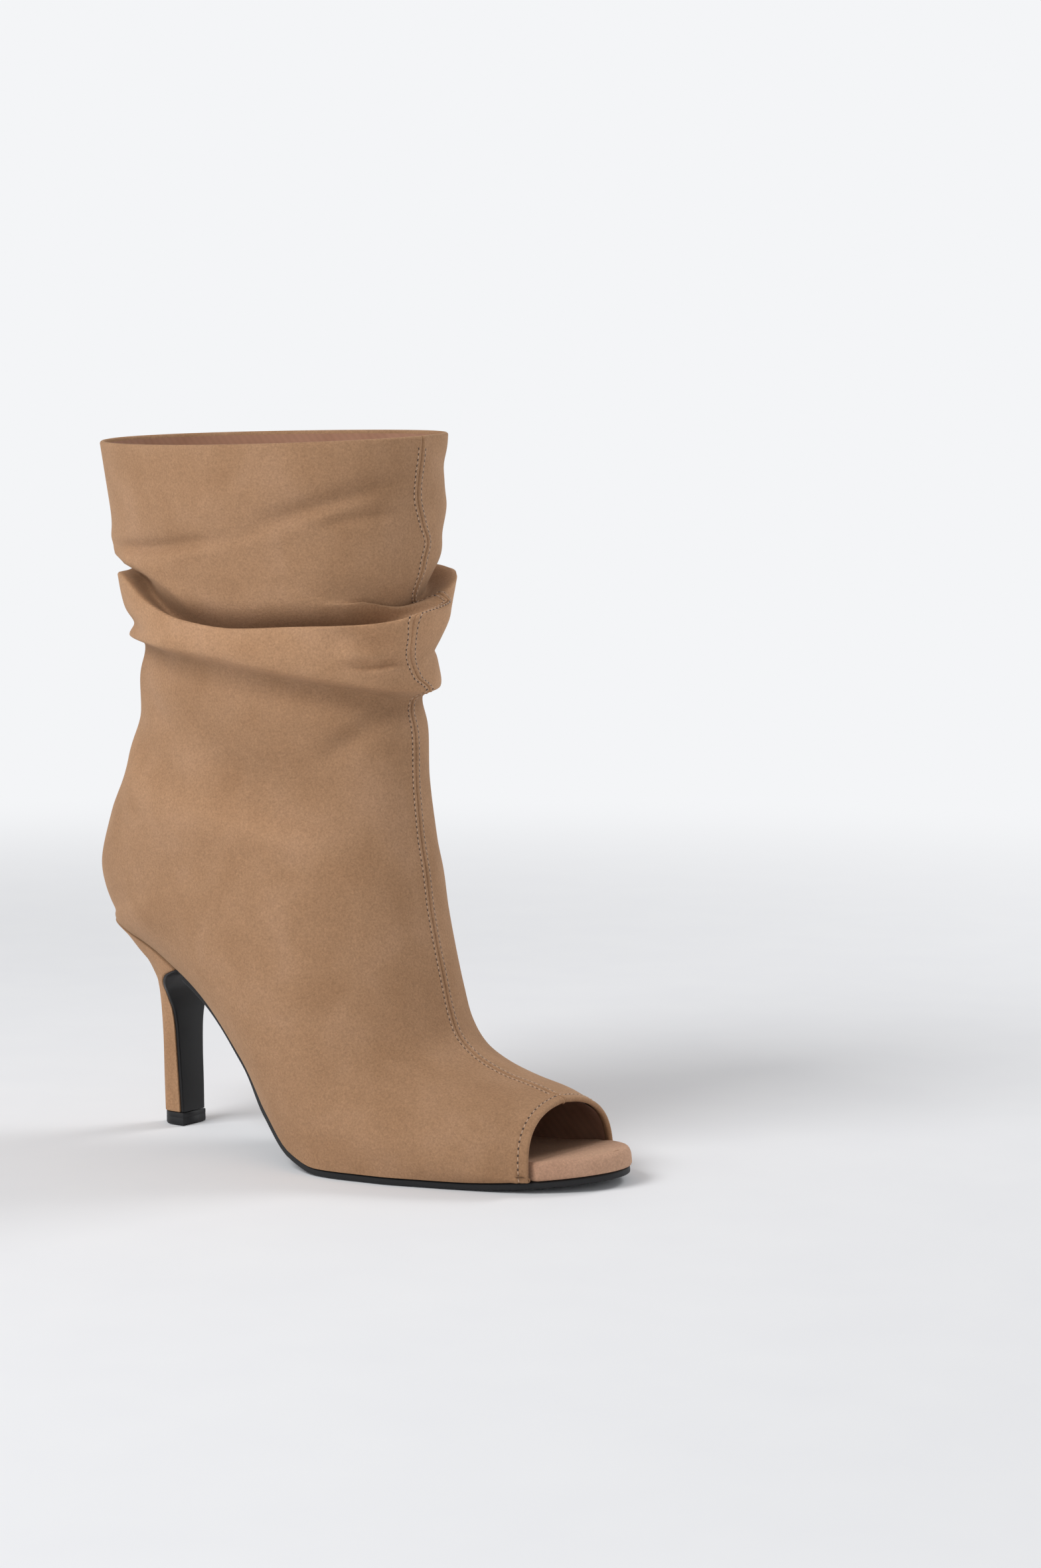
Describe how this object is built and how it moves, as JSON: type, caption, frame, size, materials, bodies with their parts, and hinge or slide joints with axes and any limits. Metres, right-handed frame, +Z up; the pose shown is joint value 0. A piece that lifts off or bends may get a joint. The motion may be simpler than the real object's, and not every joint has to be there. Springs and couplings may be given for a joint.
{
  "type": "peep-toe heeled ankle boot",
  "caption": "Soft ankle boot with a slouched shaft, a front seam, a peep toe and a slim covered heel.",
  "frame": {"origin": "middle of the face on which the heel stands, on the floor", "axes": "+X from heel to toe, +Y to the wearer's left (the boot's inner side), +Z up"},
  "size_m": [0.2193, 0.0961, 0.2487],
  "materials": {
    "suede": "soft brushed microfibre suede, tan",
    "footbed_suede": "covered footbed, tan suede",
    "heel_suede": "tan suede stretched over the heel block",
    "lining": "thin woven lining, pinkish tan",
    "thread": "sewing thread, tan",
    "sole_rubber": "thin black sole, fine matt grain",
    "breast_facing": "black, satin",
    "top_piece_rubber": "black moulded, matt"
  },
  "bodies": {
    "root": {"upper": "suede", "outsole": "sole_rubber", "insole": "footbed_suede", "heel": "heel_suede", "breast_cover": "breast_facing", "top_piece": "top_piece_rubber"}
  },
  "joints": []
}
